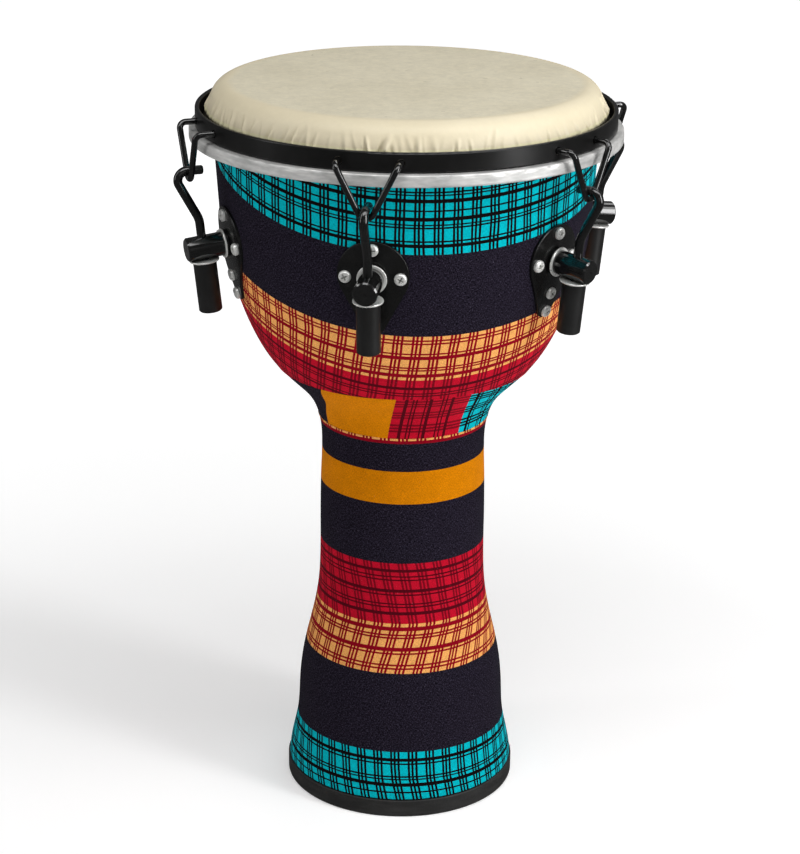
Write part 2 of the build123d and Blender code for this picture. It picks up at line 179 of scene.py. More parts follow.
# Name, degrees round from the camera, distance, height, size across and up, watts, and aim.
LIGHTS = (
    ("key", 58, 1.6, 0.80, (0.36, 1.3), 16.8, BODY_AIM),
    ("front", 14, 2.0, 0.85, (1.0, 0.7), 0.8, BODY_AIM),
    ("fill", -76, 1.9, 0.9, (0.22, 1.4), 5.0, BODY_AIM),
    ("top", 10, 0.8, 2.2, (2.2, 0.9), 25.5, BODY_AIM),
    ("side", 74, 1.35, 1.65, (0.5, 0.7), 4.0, BOWL_AIM),
    ("left", -74, 1.35, 1.65, (0.4, 0.6), 1.8, BOWL_AIM),
    ("rim", 150, 1.5, 2.3, (1.4, 0.8), 9, BODY_AIM),
)
WORLD_STRENGTH = 0.09
FLOOR_REACH = 6.0  # from the drum to each edge of the floor
FLOOR_PAINT = ((0.80, 0.80, 0.80), (0.82, 0.82, 0.82))
FLOOR_GLOW_FROM, FLOOR_GLOW_TO = 0.4, 1.6  # distances from the drum
FLOOR_GLOW = (0.33, 0.87)
WALL_STEPS = 96
WALL_RADIUS = 0.98 * FLOOR_REACH
WALL_BOTTOM = -0.01
WALL_GLOW = 0.94


def add_object(name, data):
    made = bpy.data.objects.new(name, data)
    bpy.context.scene.collection.objects.link(made)
    return made


def make_camera():
    """The camera that took the picture: 1.6 m off, looking down by about twenty degrees."""
    distance, height = 1.5978, 0.84073
    pitch, roll, yaw = math.radians(19.888), math.radians(0.60), math.radians(-0.08)
    level = math.cos(pitch)
    forward = Vector((math.sin(yaw) * level, math.cos(yaw) * level, -math.sin(pitch)))
    right = Vector((math.cos(yaw), -math.sin(yaw), 0))
    up = right.cross(forward)
    across = right * math.cos(roll) + up * math.sin(roll)
    upward = up * math.cos(roll) - right * math.sin(roll)
    turn = Matrix.Rotation(CAMERA_AROUND, 3, "Z")
    data = bpy.data.cameras.new("camera")
    data.sensor_width = 36
    data.lens = 102.54
    camera = add_object("camera", data)
    axes = Matrix((turn @ across, turn @ upward, turn @ -forward)).transposed()
    place = turn @ Vector((0, -distance, height))
    camera.matrix_world = Matrix.Translation(place) @ axes.to_4x4()
    bpy.context.scene.camera = camera


def area_light(name, around, distance, height, size, power, target):
    """A rectangular softbox, at an angle round from the camera, aimed at the drum."""
    data = bpy.data.lights.new(name, "AREA")
    data.shape = "RECTANGLE"
    data.size, data.size_y = size
    data.energy = power
    angle = CAMERA_AROUND + math.radians(around)
    spot = Vector((distance * math.sin(angle), -distance * math.cos(angle), height))
    aim = (Vector(target) - spot).to_track_quat("-Z", "Y")
    light = add_object(name, data)
    light.matrix_world = Matrix.Translation(spot) @ aim.to_matrix().to_4x4()


def make_floor():
    """A pale floor. Its glow rises with distance, so that it ends as white as in the photo."""
    mesh = bpy.data.meshes.new("floor")
    reach = FLOOR_REACH
    corners = [(-reach, -reach, 0), (reach, -reach, 0), (reach, reach, 0), (-reach, reach, 0)]
    mesh.from_pydata(corners, [], [(0, 1, 2, 3)])
    floor = add_object("floor", mesh)
    # The floor takes the drum's shadow, but doesn't glare back into its black parts.
    floor.visible_glossy = False
    shade = Shade("floor_paint")
    place = shade.place()
    away = shade.from_axis(place)
    shade.set("Base Color", shade.mix(shade.noise(place, 3.0), *FLOOR_PAINT))
    shade.set("Roughness", 0.8)
    shade.set("Specular IOR Level", 0.1)
    shade.set("Emission Color", WHITE)
    shade.set("Emission Strength", shade.span(away, FLOOR_GLOW_FROM, FLOOR_GLOW_TO, *FLOOR_GLOW))
    mesh.materials.append(shade.material)


def make_wall():
    """A pale wall all round, behind the far floor. Only the camera sees it, so it lights nothing."""
    turns = [2 * math.pi * step / WALL_STEPS for step in range(WALL_STEPS)]
    ring = [(WALL_RADIUS * math.cos(turn), WALL_RADIUS * math.sin(turn)) for turn in turns]
    corners = [(x, y, z) for z in (WALL_BOTTOM, FLOOR_REACH) for x, y in ring]
    faces = []
    for step in range(WALL_STEPS):
        after = (step + 1) % WALL_STEPS
        faces.append((step, after, WALL_STEPS + after, WALL_STEPS + step))
    mesh = bpy.data.meshes.new("studio_wall")
    mesh.from_pydata(corners, [], faces)
    wall = add_object("studio_wall", mesh)
    for ray in ("diffuse", "glossy", "transmission", "volume_scatter", "shadow"):
        setattr(wall, "visible_" + ray, False)
    shade = Shade("wall_paint")
    shade.set("Base Color", (0, 0, 0))
    shade.set("Specular IOR Level", 0.0)
    shade.set("Emission Color", WHITE)
    shade.set("Emission Strength", WALL_GLOW)
    mesh.materials.append(shade.material)


def make_studio():
    """Dim white surroundings, softboxes, and a pale floor and wall."""
    scene = bpy.context.scene
    scene.view_settings.view_transform = "Standard"
    world = bpy.data.worlds.new("studio")
    world.use_nodes = True
    background = world.node_tree.nodes["Background"]
    background.inputs["Color"].default_value = (*WHITE, 1)
    background.inputs["Strength"].default_value = WORLD_STRENGTH
    scene.world = world
    for light in LIGHTS:
        area_light(*light)
    make_floor()
    make_wall()


# ------------------------------------------------------------------ the printed cloth

NAVY = (0.0014, 0.0011, 0.0034)
NAVY_LIGHT = (0.0480, 0.0390, 0.0620)
CYAN = (0.0010, 0.400, 0.470)
ORANGE = (0.720, 0.335, 0.097)
RED = (0.440, 0.0050, 0.0200)
YELLOW = (0.545, 0.175, 0.0012)
BLACK = (0.0050, 0.0035, 0.0040)
WINE = (0.215, 0.0025, 0.0100)
MAROON = (0.070, 0.0025, 0.0070)
LINT = (0.30, 0.27, 0.36)

# Widths in millimetres across each plaid band, colour and line in turn, starting with the colour.
# Cyan is listed outwards from the navy, orange from the navy to the red, red from the orange on.
CYAN_ROWS = [4.7, 2.4, 1.15, 1.1, 7.7, 1.1, 0.95, 1.1, 2.0, 2.6, 4.4, 1.2, 3.6, 2.6, 2.0, 1.1, 0.95,
             1.1, 7.7, 1.1, 1.15, 2.4, 4.7]
ORANGE_ROWS = [2.65, 1.2, 1.15, 1.2, 6.7, 1.2, 1.05, 2.7, 5.95, 1.2, 0.8, 1.2, 2.3, 2.8, 2.4]
RED_ROWS = [6.1, 2.2, 3.0, 1.0, 1.3, 1.0, 5.6, 1.0, 1.4, 2.2, 6.4, 1.0, 1.6, 1.0, 2.8, 2.0, 4.6]
COLUMNS = [5.5, 1.55, 0.95, 1.5, 1.2, 1.6]
PLAIDS = {  # cloth, lines, rows, and how strongly the columns show
    "cyan": (CYAN, BLACK, CYAN_ROWS, 1.0),
    "orange": (ORANGE, WINE, ORANGE_ROWS, 1.0),
    "red": (RED, MAROON, RED_ROWS, 0.75),
}

# Where each band starts across the cloth, in millimetres, and what it is.
BOWL_BANDS = [(-80.0, "cyan"), (0.0, "navy"), (57.4, "orange"), (91.9, "red")]
STEM_BANDS = BOWL_BANDS + [
    (136.1, "navy"), (179.8, "yellow"), (203.2, "navy"), (223.9, "wine"), (226.4, "orange"),
]
NECK_BANDS = [
    (-300.0, "red"), (-200.0, "navy"), (-51.2, "yellow"), (0.0, "red"),
    (51.0, "cyan"), (107.0, "navy"), (165.0, "orange"), (199.5, "red"),
]

WARP_PITCH, WEFT_PITCH = 0.46, 0.52  # one full wave of the weave, in millimetres
THREAD_ACROSS, THREAD_ALONG = 3.2, 0.6  # grain of a thread's fibres, per millimetre
DRIFT, JAG = 2.2, 0.36  # how far the print's lines wander, and how ragged they are, in millimetres


def line_steps(widths):
    """Ramp levels for a run of widths, 0 for cloth and 1 for a line, over the run's whole length."""
    total, start, levels = sum(widths), 0.0, []
    for index, width in enumerate(widths):
        levels.append((start / total, float(index % 2)))
        start += width
    return levels


def cloth_material(name, bands):
    """Printed cotton. The UV map holds millimetres along and across the cloth.

    bands lists (start across, kind) in rising order, where a kind is a plain colour or a plaid.
    A plaid's rows run on from its start, or back from its end where it is the first band.
    """
    shade = Shade(name)
    flat = shade.flat()
    along, across, _ = shade.parts(flat)
    warp_thread = shade.noise(shade.scaled(flat, THREAD_ACROSS, THREAD_ALONG, 1), 1.0)
    weft_thread = shade.noise(shade.scaled(flat, THREAD_ALONG, THREAD_ACROSS, 1), 1.0)
    blot = shade.noise(flat, 1.5, 2.0, 0.6)
    threads = shade.math("ADD", warp_thread, weft_thread)
    fibre = shade.math("MULTIPLY", shade.math("ADD", threads, blot), 1 / 3)
    fuzz = shade.span(fibre, 0.45, 0.70)

    drift = shade.centred(shade.noise(flat, 0.03, 1.0), DRIFT)
    jag = shade.centred(shade.noise(flat, 0.9, 2.0, 0.6), JAG)
    along_print = shade.math("ADD", along, shade.math("ADD", drift, jag))
    across_print = shade.math("ADD", across, jag)
    repeat = shade.math("FRACT", shade.math("MULTIPLY", along_print, 1 / sum(COLUMNS)))
    column = shade.steps(repeat, line_steps(COLUMNS))
    plain = {"navy": shade.mix(fuzz, NAVY, NAVY_LIGHT), "yellow": YELLOW, "wine": WINE}
    colour = None
    for index, (start, kind) in enumerate(bands):
        if kind in plain:
            band = plain[kind]
        else:
            ground, ink, rows, strength = PLAIDS[kind]
            first = start if index > 0 else bands[1][0] - sum(rows)
            row = shade.steps(shade.span(across_print, first, first + sum(rows)), line_steps(rows))
            lines = shade.math("MAXIMUM", row, shade.math("MULTIPLY", column, strength))
            band = shade.mix(lines, ground, ink)
        if index > 0:
            band = shade.mix(shade.math("GREATER_THAN", across_print, start), colour, band)
        colour = band

    cloud = shade.noise(flat, 0.09, 3.0, 0.6)
    grain_tone = shade.span(fibre, 0.38, 0.62, 0.62, 1.38)
    cloud_tone = shade.spread(cloud, 0.92, 1.08)
    colour = shade.toned(colour, shade.math("MULTIPLY", grain_tone, cloud_tone))
    speck = shade.span(shade.noise(flat, 0.8, 0.0), 0.83, 0.86, 0.0, 0.16)
    shade.set("Base Color", shade.mix(speck, colour, LINT))
    shade.set("Roughness", shade.spread(fibre, 0.85, 0.97))
    shade.set("Sheen Weight", 0.01)
    shade.set("Sheen Roughness", 0.4)
    shade.set("Specular IOR Level", 0.02)
    warp = shade.math("SINE", shade.math("MULTIPLY", along, 2 * math.pi / WARP_PITCH))
    weft = shade.math("SINE", shade.math("MULTIPLY", across, 2 * math.pi / WEFT_PITCH))
    weave = shade.math("MULTIPLY", warp, weft)
    shade.set("Normal", shade.bump(weave, 0.000025, under=shade.bump(fibre, 0.00010)))
    return shade.material


# ------------------------------------------------------------------ turned surfaces

def turned_outline(node):
    """Heights and radii of a turned CAD node's outside, from its full rings of vertices."""
    corners = nodes[node].data.vertices
    spots = np.array([corner.co for corner in corners])
    facing = np.array([corner.normal for corner in corners])
    radii = np.hypot(spots[:, 0], spots[:, 1])
    outward = (facing[:, :2] * spots[:, :2]).sum(axis=1) / radii
    rings = np.round(np.column_stack((spots[:, 2], radii))[outward > 0.3], 5)
    found, counts = np.unique(rings, axis=0, return_counts=True)
    found = found[counts > 40]  # a full ring has more points than this
    heights = np.unique(found[:, 0])
    return heights, np.array([found[found[:, 0] == height, 1].max() for height in heights])


def smooth_radius(outline, height):
    """Radius at each height, on a cubic through the outline's points."""
    heights, radii = outline
    slopes = np.gradient(radii, heights)
    spot = np.clip(np.searchsorted(heights, height) - 1, 0, len(heights) - 2)
    step = heights[spot + 1] - heights[spot]
    t = np.clip((height - heights[spot]) / step, 0, 1)
    return (
        (1 + 2 * t) * (1 - t) ** 2 * radii[spot]
        + t * (1 - t) ** 2 * step * slopes[spot]
        + t * t * (3 - 2 * t) * radii[spot + 1]
        - t * t * (1 - t) * step * slopes[spot + 1]
    )


def turns_round(steps):
    """Angles of the steps of one full turn, from zero."""
    return np.arange(steps) * 2 * math.pi / steps


def ring_mesh(name, radii, heights, start, uv=None, closed_section=False):
    """A smooth mesh from radii, (rows, steps round), and heights, the same or (rows, 1).

    start is the angle round from lug 1 of the first step. uv holds (rows, steps + 1, 2).
    """
    rows, steps = radii.shape
    angles = start + turns_round(steps)
    x, y = radii * np.sin(angles), -radii * np.cos(angles)
    points = np.stack(np.broadcast_arrays(x, y, heights), axis=2).reshape(-1, 3)
    bands = np.arange(rows if closed_section else rows - 1)
    row, step = np.meshgrid(bands, np.arange(steps), indexing="ij")
    above, after = (row + 1) % rows, (step + 1) % steps
    here, there = row * steps, above * steps
    quads = np.stack((here + step, here + after, there + after, there + step), axis=2)
    mesh = bpy.data.meshes.new(name)
    mesh.from_pydata(points.tolist(), [], quads.reshape(-1, 4).tolist())
    if uv is not None:
        layer = mesh.uv_layers.new(name="cloth")
        corners = (uv[row, step], uv[row, step + 1], uv[above, step + 1], uv[above, step])
        layer.data.foreach_set("uv", np.stack(corners, axis=2).reshape(-1).astype(np.float32))
    mesh.polygons.foreach_set("use_smooth", [True] * len(mesh.polygons))
    mesh.update()
    return add_object(name, mesh)


def soft_noise(angles, seed, waves, spread):
    """A smooth random curve round the drum, repeating, made of a few sine waves."""
    draw = random.Random(seed)
    total = np.zeros_like(angles)
    for _ in range(waves):
        turns = draw.randint(*spread)
        total += draw.uniform(-1, 1) * np.sin(turns * angles + draw.uniform(0, 2 * math.pi))
    return total / waves


def short_way(distance, whole):
    """The signed distance round a ring, taken the short way."""
    return (distance + whole / 2) % whole - whole / 2


# ------------------------------------------------------------------ cloth pieces

CLOTH_STEPS = 540
CLOTH_ROW = 0.0016  # mean height of a row
HEM_ROWS = 6
HEM_REACH = 2.2 * MM  # how far a hem's ridge spreads into the cloth
HEM_RIDGE = 0.30 * MM
HEM_TUCK, HEM_SLOPE, HEM_ROLL = 0.50 * MM, 0.12 * MM, 0.22 * MM
HEM_WAVE = 0.25 * MM
OVERLAP_TURN = 1 / 12  # how far the overlap at the back spreads, in radians
OVERLAP_RISE = 0.10 * MM


def cloth_rows(low, high):
    """Heights of a wrap's rows, closer together at both hems."""
    t = np.linspace(-1, 1, int((high - low) / CLOTH_ROW))
    return low + (high - low) * (0.5 + 0.5 * (0.75 * t + 0.25 * np.sin(t * math.pi / 2)))


def make_wrap(node, name, bands, cloth_lines, low_ridge=0.0, high_ridge=0.0):
    """A printed wrap over its CAD skin, with rolled hems, an overlap at the back and faint waves."""
    outline = turned_outline(node)
    low, high = outline[0][0], outline[0][-1]
    heights = cloth_rows(low, high)
    radii = smooth_radius(outline, heights)
    wave = soft_noise(SEAM + turns_round(CLOTH_STEPS), 7, 9, (5, 40))
    around = np.linspace(-math.pi, math.pi, CLOTH_STEPS + 1)  # from the camera's side
    near_low = np.exp(-(((heights - low) / HEM_REACH) ** 2))[:, None]
    near_high = np.exp(-(((high - heights) / HEM_REACH) ** 2))[:, None]
    overlap = np.exp(-(((np.abs(around[:-1]) - math.pi) / OVERLAP_TURN) ** 2))
    ridge = (near_low * low_ridge + near_high * high_ridge) * (1 + 0.5 * wave)
    lie = radii[:, None] + ridge + overlap * OVERLAP_RISE
    level = heights[:, None] + (near_low - near_high) * HEM_WAVE * wave
    # Each hem turns in under the cloth, towards the shell.
    turn = np.linspace(0, 1, HEM_ROWS + 1)[1:, None]
    tuck = HEM_TUCK * (1 - np.cos(turn * math.pi / 2)) + HEM_SLOPE * turn
    roll = HEM_ROLL * np.sin(turn * math.pi)
    lie = np.concatenate([(lie[:1] - tuck)[::-1], lie, lie[-1:] - tuck])
    level = np.concatenate([(level[:1] - roll)[::-1], level, level[-1:] + roll])
    # The hems keep the print of the cloth's edges.
    flat_z, flat_r = (np.pad(each, HEM_ROWS, mode="edge")[:, None] / MM for each in (heights, radii))
    along, across = np.broadcast_arrays(*cloth_lines(around[None, :], flat_z, flat_r))
    piece = ring_mesh(name, lie, level, SEAM, np.stack((along, across), axis=2))
    piece.data.materials.append(cloth_material(name + "_print", bands))
    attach(piece, "drum_body")
    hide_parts(node)


# Each of these gives the millimetres along and across a cloth, from the angle round from the
# camera's side and from the height and radius in millimetres. Their numbers follow the photo.

def bowl_lines(around, z, r):
    """The bowl's bands climb towards the back, and its columns fan out as on a cone."""
    navy_top, fan = 422.8, 0.28
    turn = around - math.radians(9)
    climb = (32.4 - 6.4 * np.sin(turn)) * (1 - np.cos(turn))
    along = r / fan * np.sin(fan * around) + 0.12 * np.clip(365 - z, 0, None)
    return along, navy_top + climb - z


def stem_lines(around, z, r):
    """The stem's bands are level but for a wave near the foot, and its columns slant a little."""
    navy_bottom, wave_height = 47.5, 40
    slant = np.interp(z, (12, 28, 47, 105, 139, 184), (-4.4, -1.2, 0.0, 10.0, 0.0, 8.8))
    wave = 1.6 * np.exp(-(((z - wave_height) / 25) ** 2)) * (1 - np.cos(around + 0.3))
    return r * around + slant, z - navy_bottom + wave


def neck_lines(around, z, r):
    """The neck's cloth is turned, so its bands run up and down."""
    bottom, top, mean_radius = 275, 314, 58.0
    lean = 6.0 * (top - z) / (top - bottom)
    ripple = 1.3 * np.sin((z - bottom) / 4.6) * np.exp(-(((around + 0.85) / 0.35) ** 2))
    flared = 1.1 * np.tanh(around / 1.1)  # the cloth follows the flare in front, and runs level behind
    return z - bottom, r * flared + mean_radius * (around - flared) + lean + ripple + 4.8


def make_cloth():
    make_wrap("bowl_wrap", "bowl_cloth", BOWL_BANDS, bowl_lines,
              low_ridge=HEM_RIDGE)
    make_wrap("neck_wrap", "neck_cloth", NECK_BANDS, neck_lines)
    make_wrap("stem_wrap", "stem_cloth", STEM_BANDS, stem_lines,
              high_ridge=HEM_RIDGE)


# ------------------------------------------------------------------ drumhead

FILM_GREY = ((0.640, 0.585, 0.440), (0.700, 0.645, 0.495))  # over the opening
FILM_CREAM = ((0.675, 0.598, 0.425), (0.715, 0.638, 0.462))  # over the rim and down the skirt
FILM_SPECK = (0.30, 0.26, 0.17)
# The next three colours are painted light: shade in the creases, a highlight along the hoop, and shade
# on the film inside the hoop.
FILM_CREASE_SHADE = (0.540, 0.450, 0.260)
FILM_LINE_HIGHLIGHT = (0.720, 0.665, 0.430)
FILM_HIDDEN_SHADE = (0.035, 0.030, 0.022)

OPENING_EDGE, OPENING_INSIDE = 0.1195, 0.1150  # radii between which the film turns grey
RIM_RADIUS, RIM_HEIGHT = 0.1185, 0.49545  # centre of the bearing edge's round
RIM_ROUND = 0.0117  # radius of that round
FILM_ROUND = 0.0123  # radius of the film's bend over it
SKIRT_LEAN = math.radians(20)
SKIRT_RADIUS = 0.132  # for lengths round the skirt
HOOP_TOP = 0.492
HOOP_HIGHLIGHT = (0.4921, 0.4916)  # the painted highlight along the hoop begins between these heights
PLEATS_FULL = 0.4905  # below this height the pleats grow no more, and painted shade starts to darken the film inside the hoop
HIDDEN_SHADE_FULL = 0.4890
LINKS_CLEAR = 0.4887  # below this height no pleat bulges out, as the links' ends need the room
CHANNEL_CLEAR = 0.4795  # the pleats have died out at this height

HEAD_STEPS = 1500
PLEAT_STEP = (0.0035, 0.0105)
PLEAT_WIDTH = (0.0009, 0.0022)
PLEAT_DEPTH = (0.0012, 0.0030)
PLEAT_SHARES = (0.3, 0.6, 1.0, 1.0)
PLEAT_TOP = (0.4980, 0.5060)
PLEAT_SLANT = (-0.45, 0.45)
PLEAT_LIMIT = 0.0020
RIM_GAP = 0.0005
RIPPLE_TOP, RIPPLE_FADE, RIPPLE_DEPTH = 0.502, 0.012, 0.00035


def film_material():
    """Cream synthetic film, greyer over the opening, with fibres and specks, painted shade in its
    creases and inside the hoop, and a painted highlight along the hoop.
    """
    shade = Shade("film")
    place = shade.place()
    height = shade.parts(place)[2]
    cloud = shade.noise(place, 22, 4.0, 0.6)
    mottle = shade.noise(place, 190, 4.0, 0.7)
    fibre = shade.noise(shade.scaled(place, 1.0, 3.0, 1.0), 300, 3.0, 0.65)
    edge = shade.centred(shade.noise(place, 60, 3.0), 0.004)
    radius = shade.math("ADD", shade.from_axis(place), edge)
    over_air = shade.span(radius, OPENING_EDGE, OPENING_INSIDE)
    grey = shade.mix(shade.span(cloud, 0.35, 0.7), *FILM_GREY)
    cream = shade.mix(shade.spread(cloud), *FILM_CREAM)
    colour = shade.mix(over_air, cream, grey)
    tone = shade.math("MULTIPLY", shade.spread(fibre, 0.95, 1.05), shade.spread(mottle, 0.91, 1.09))
    tone_share = shade.span(over_air, 0.0, 1.0, 0.2, 1.0)
    colour = shade.mix(tone_share, colour, shade.toned(colour, tone))
    speck = shade.span(shade.noise(place, 210, 0.0), 0.84, 0.87, 0.0, 0.35)
    colour = shade.mix(shade.math("MULTIPLY", speck, over_air), colour, FILM_SPECK)
    # Painted shade makes the creases darker and yellower, and a painted highlight makes a lighter,
    # yellower line along the hoop.
    crease = shade.node("ShaderNodeAttribute", attribute_name="fold").outputs["Fac"]
    colour = shade.mix(shade.math("MULTIPLY", crease, 0.40), colour, FILM_CREASE_SHADE)
    colour = shade.mix(shade.span(height, *HOOP_HIGHLIGHT), colour, FILM_LINE_HIGHLIGHT)
    # Painted shade: the film inside the hoop, seen only through the links' holes, is painted dark.
    colour = shade.mix(shade.span(height, PLEATS_FULL, HIDDEN_SHADE_FULL), colour, FILM_HIDDEN_SHADE)
    shade.set("Base Color", colour)
    shade.set("Roughness", shade.spread(fibre, 0.40, 0.52))
    shade.set("Specular IOR Level", 0.4)
    shade.set("Normal", shade.bump(fibre, 0.00006))
    return shade.material


def head_section(top, bottom):
    """The film's radii and heights, from the middle outwards and down into the channel."""
    flat = np.concatenate([np.linspace(0.0005, 0.105, 5), np.linspace(0.110, RIM_RADIUS, 4)])
    section = [(radius, top) for radius in flat]
    for angle in np.linspace(math.radians(86), SKIRT_LEAN, 18):
        across, up = FILM_ROUND * math.cos(angle), FILM_ROUND * math.sin(angle)
        section.append((RIM_RADIUS + across, RIM_HEIGHT + up))
    bend_radius, bend_height = section[-1]
    seen = np.linspace(bend_height, PLEATS_FULL, 14)[1:]
    hidden = np.linspace(PLEATS_FULL, bottom, 9)[1:]
    for height in np.concatenate([seen, hidden]):
        section.append((bend_radius + (bend_height - height) * math.tan(SKIRT_LEAN), height))
    return np.array(section)


def head_folds(radius, level, angles):
    """How far the skirt is drawn in at each row and step: creases with a ridge beside each."""
    arc = angles[None, :] * SKIRT_RADIUS
    whole = 2 * math.pi * SKIRT_RADIUS
    draw = random.Random(11)
    spot = 0.0
    fold = np.zeros((len(level), len(angles)))
    while spot < whole:
        spot += draw.uniform(*PLEAT_STEP)
        width = draw.uniform(*PLEAT_WIDTH)
        depth = draw.uniform(*PLEAT_DEPTH) * draw.choice(PLEAT_SHARES)
        top = draw.uniform(*PLEAT_TOP)
        slant = draw.uniform(*PLEAT_SLANT)
        away = short_way(arc - spot + slant * (HOOP_TOP - level), whole)
        grow = np.clip((top - level) / (top - PLEATS_FULL), 0, 1) ** 1.1
        crease = np.exp(-((away / width) ** 2))
        ridge = np.exp(-(((away - 1.5 * width) / (0.9 * width)) ** 2))
        fold += grow * depth * (0.5 * crease - 0.8 * ridge)
    ripple = soft_noise(angles, 5, 14, (20, 120))[None, :]
    fold += np.clip((RIPPLE_TOP - level) / RIPPLE_FADE, 0, 1) * RIPPLE_DEPTH * ripple
    # Pleats stay clear of the shell's round rim, and die out inside the channel.
    above_rim = np.clip(level - RIM_HEIGHT, 0, None)
    rim = RIM_RADIUS + np.sqrt(np.clip(RIM_ROUND ** 2 - above_rim ** 2, 0, None))
    room = np.clip(radius - rim - RIM_GAP, 0, PLEAT_LIMIT)
    bulge = PLEAT_LIMIT * np.clip((level - LINKS_CLEAR) / 0.0030, 0, 1)
    return np.clip(fold, -bulge, room) * np.clip((level - CHANNEL_CLEAR) / 0.004, 0, 1)


def close_middle(mesh, steps, top):
    """Fills the small ring at the middle of the film with triangles to its centre."""
    work = bmesh.new()
    work.from_mesh(mesh)
    centre = work.verts.new((0, 0, top))
    work.verts.ensure_lookup_table()
    for index in range(steps):
        face = work.faces.new((centre, work.verts[index], work.verts[(index + 1) % steps]))
        face.smooth = True
    bmesh.ops.recalc_face_normals(work, faces=work.faces)
    work.to_mesh(mesh)
    work.free()


def make_head():
    """The film: flat over the opening, rounded over the rim, then a pleated skirt to the channel."""
    low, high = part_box("drumhead")
    section = head_section(high.z, low.z)
    radius, level = section[:, :1], section[:, 1:]
    fold = head_folds(radius, level, turns_round(HEAD_STEPS))
    piece = ring_mesh("head_film_skin", radius - fold, level, 0.0)
    depths = piece.data.attributes.new("fold", "FLOAT", "POINT")
    depths.data.foreach_set("value", np.clip(fold / PLEAT_LIMIT, 0, 1).ravel())
    close_middle(piece.data, HEAD_STEPS, high.z)
    piece.data.materials.append(film_material())
    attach(piece, "head_assembly")
    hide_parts("drumhead")


# ------------------------------------------------------------------ aluminium channel

CHANNEL_WIDTH = 0.01085
LIP_WIDTH = 0.00635  # the part of the top that is turned in
CHANNEL_WALL = 0.001
CHANNEL_CORNER = 0.0012
INNER_DROP = 0.0017  # the inner wall ends this far below the top

CHANNEL_STEPS = 720
CRIMP_STEP = (0.0165, 0.0215)
CRIMP_WIDTH = (0.0030, 0.0046)
CRIMP_SHARE = (0.6, 1.0)
CRIMP_IN, CRIMP_DOWN = 0.00080, 0.00015
CRIMP_START, CRIMP_FADE = 0.0028, 0.0022  # from so far below the top, over such a height
CRIMP_BAND = 0.0035  # crimps reach this far in from the outside
LAST_CRIMP_GAP = 0.012
DENT_BAND, DENT_DEPTH = 0.0015, 0.00012  # faint unevenness of the outer wall


def aluminium_material():
    """Bright rolled aluminium with soft stains, smeared along its length."""
    shade = Shade("rolled_aluminium")
    flat = shade.flat()
    stain = shade.noise(shade.scaled(flat, 0.045, 0.16, 1), 1.0, 3.0, 0.55)
    drawn = shade.noise(shade.scaled(flat, 0.12, 6.0, 1), 1.0, 3.0)
    stained, clean = (0.47, 0.47, 0.46), (0.82, 0.81, 0.79)
    shade.set("Base Color", shade.mix(shade.span(stain, 0.35, 0.68), stained, clean))
    shade.set("Metallic", 0.5)
    shade.set("Roughness", shade.spread(stain, 0.55, 0.42))
    shade.set("Normal", shade.bump(stain, 0.00008, under=shade.bump(drawn, 0.00005)))
    return shade.material


def channel_section(outer, bottom, top):
    """The channel's closed section, as radii and heights."""
    inner, lip = outer - CHANNEL_WIDTH, outer - LIP_WIDTH
    wall, corner = CHANNEL_WALL, CHANNEL_CORNER
    section = []

    def turn(radius, height, size, first, last):
        for angle in np.radians(np.linspace(first, last, 6)):
            section.append((radius + size * math.cos(angle), height + size * math.sin(angle)))

    turn(inner + corner, bottom + corner, corner, 180, 270)
    turn(outer - corner, bottom + corner, corner, 270, 360)
    section += [(outer, height) for height in np.linspace(bottom + 0.0018, top - 0.0014, 11)]
    turn(outer - corner, top - corner, corner, 0, 90)
    section += [(radius, top) for radius in np.linspace(outer - 0.002, lip + 0.0006, 5)]
    turn(lip + wall / 2, top - wall / 2, wall / 2, 90, 270)
    section += [
        (outer - wall, top - wall),
        (outer - wall, bottom + wall),
        (inner + wall, bottom + wall),
        (inner + wall, top - INNER_DROP),
        (inner, top - INNER_DROP),
    ]
    return np.array(section)


def make_channel():
    """The crimped aluminium channel round the head's edge, with its row of crimp marks."""
    low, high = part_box("flesh_hoop")
    outer, top = high.x, high.z
    section = channel_section(outer, low.z, top)
    radius, level = section[:, :1], section[:, 1:]
    angles = turns_round(CHANNEL_STEPS)
    arc = angles * outer
    whole = 2 * math.pi * outer
    draw = random.Random(3)
    crimps = np.zeros(CHANNEL_STEPS)
    spot = 0.0
    while spot < whole - LAST_CRIMP_GAP:
        spot += draw.uniform(*CRIMP_STEP)
        width = draw.uniform(*CRIMP_WIDTH)
        away = np.abs(short_way(arc - spot, whole))
        crimps = np.maximum(crimps, draw.uniform(*CRIMP_SHARE) / (1 + (away / width) ** 10))
    shoulder = np.clip((level - (top - CRIMP_START)) / CRIMP_FADE, 0, 1)
    crimp = shoulder * (radius > outer - CRIMP_BAND) * crimps[None, :]
    dents = soft_noise(SEAM + angles, 21, 10, (8, 60))[None, :] * (radius > outer - DENT_BAND)
    run = np.concatenate([[0], np.cumsum(np.hypot(*np.diff(section, axis=0).T))])
    along = np.arange(CHANNEL_STEPS + 1) * whole / CHANNEL_STEPS
    uv = np.stack(np.broadcast_arrays(along[None, :] / MM, run[:, None] / MM), axis=2)
    radii = radius - crimp * CRIMP_IN + dents * DENT_DEPTH
    heights = level - crimp * CRIMP_DOWN
    piece = ring_mesh("channel_ring", radii, heights, SEAM, uv, closed_section=True)
    piece.data.materials.append(aluminium_material())
    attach(piece, "head_assembly")
    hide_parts("flesh_hoop")


# ------------------------------------------------------------------ finishes of the CAD nodes

